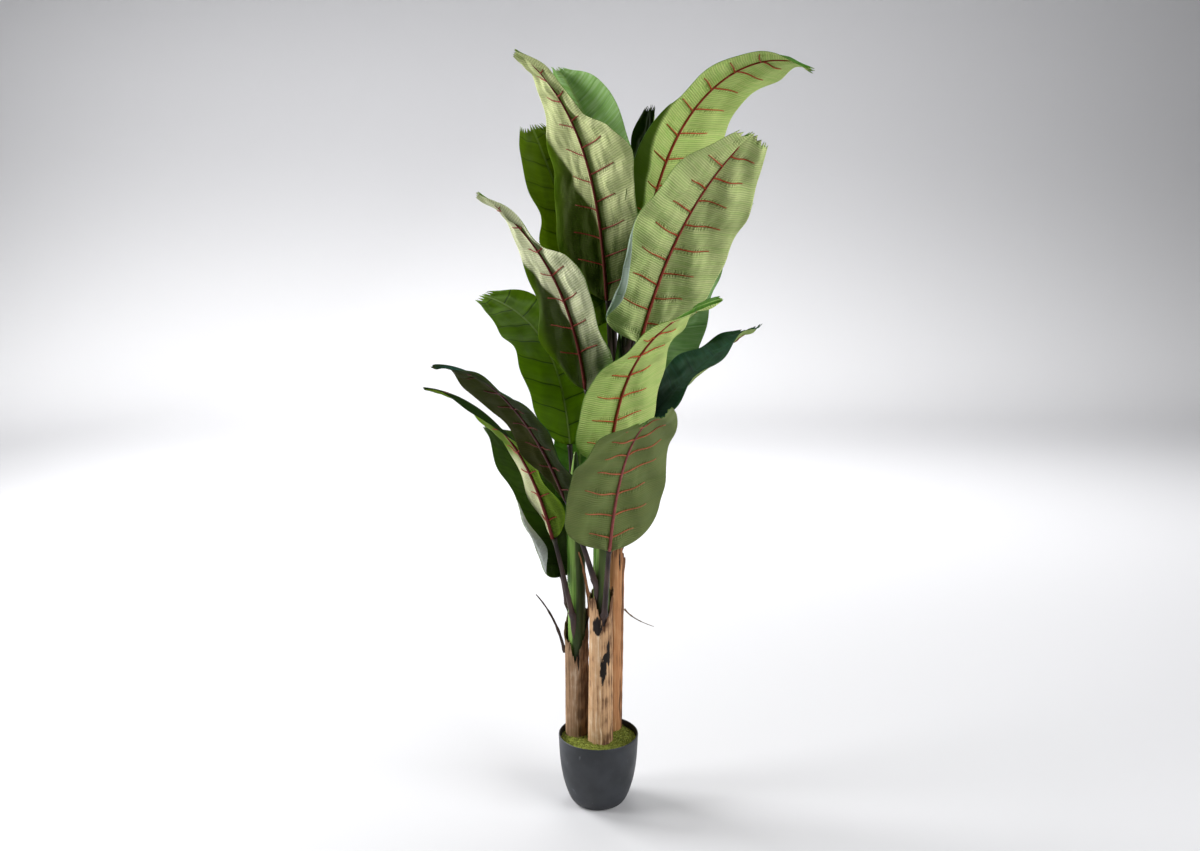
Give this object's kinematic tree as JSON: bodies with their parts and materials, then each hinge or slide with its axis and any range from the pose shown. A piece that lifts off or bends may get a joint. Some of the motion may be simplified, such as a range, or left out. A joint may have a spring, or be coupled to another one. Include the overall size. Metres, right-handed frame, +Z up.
{
  "type": "potted artificial banana plant",
  "caption": "Artificial banana plant with broad arching leaves on long stalks, husk-wrapped stems and moss in a round tapered pot.",
  "frame": {"origin": "centre of the pot's flat underside", "axes": "+Z up along the stems, -Y towards the side that the picture shows, +X to that viewer's right"},
  "size_m": [0.8534, 0.8211, 1.8198],
  "materials": {
    "leaf_green": "printed woven leaf cloth, satin, paler below with red veins",
    "stalk_plum": "plum-brown satin sleeve over wire",
    "stem_green": "streaked green satin",
    "husk_brown": "dry fibrous sheath with dark patches",
    "moss_green": "loose short moss",
    "fill_cement": "rough cement",
    "pot_slate": "smooth slate grey, low sheen"
  },
  "bodies": {
    "root": {"husk_back": "husk_brown", "husk_front": "husk_brown", "husk_left": "husk_brown", "husk_strip_front": "husk_brown", "husk_strip_left": "husk_brown", "husk_strip_right": "husk_brown", "leaf_back_1": "leaf_green", "leaf_back_10": "leaf_green", "leaf_back_11": "leaf_green", "leaf_back_12": "leaf_green", "leaf_back_2": "leaf_green", "leaf_back_3": "leaf_green", "leaf_back_4": "leaf_green", "leaf_back_5": "leaf_green", "leaf_back_6": "leaf_green", "leaf_back_7": "leaf_green", "leaf_back_8": "leaf_green", "leaf_back_9": "leaf_green", "leaf_front_1": "leaf_green", "leaf_front_2": "leaf_green", "leaf_front_3": "leaf_green", "leaf_front_4": "leaf_green", "leaf_left_1": "leaf_green", "leaf_left_2": "leaf_green", "leaf_left_3": "leaf_green", "leaf_left_4": "leaf_green", "moss_top": "moss_green", "petiole_back_1": "stalk_plum", "petiole_back_10": "stalk_plum", "petiole_back_11": "stalk_plum", "petiole_back_12": "stalk_plum", "petiole_back_2": "stalk_plum", "petiole_back_3": "stalk_plum", "petiole_back_4": "stalk_plum", "petiole_back_5": "stalk_plum", "petiole_back_6": "stalk_plum", "petiole_back_7": "stalk_plum", "petiole_back_8": "stalk_plum", "petiole_back_9": "stalk_plum", "petiole_front_1": "stalk_plum", "petiole_front_2": "stalk_plum", "petiole_front_3": "stalk_plum", "petiole_front_4": "stalk_plum", "petiole_left_1": "stalk_plum", "petiole_left_2": "stalk_plum", "petiole_left_3": "stalk_plum", "petiole_left_4": "stalk_plum", "pot": "pot_slate", "pot_fill": "fill_cement", "stem_back": "stem_green", "stem_front": "stem_green", "stem_left": "stem_green"}
  },
  "joints": []
}
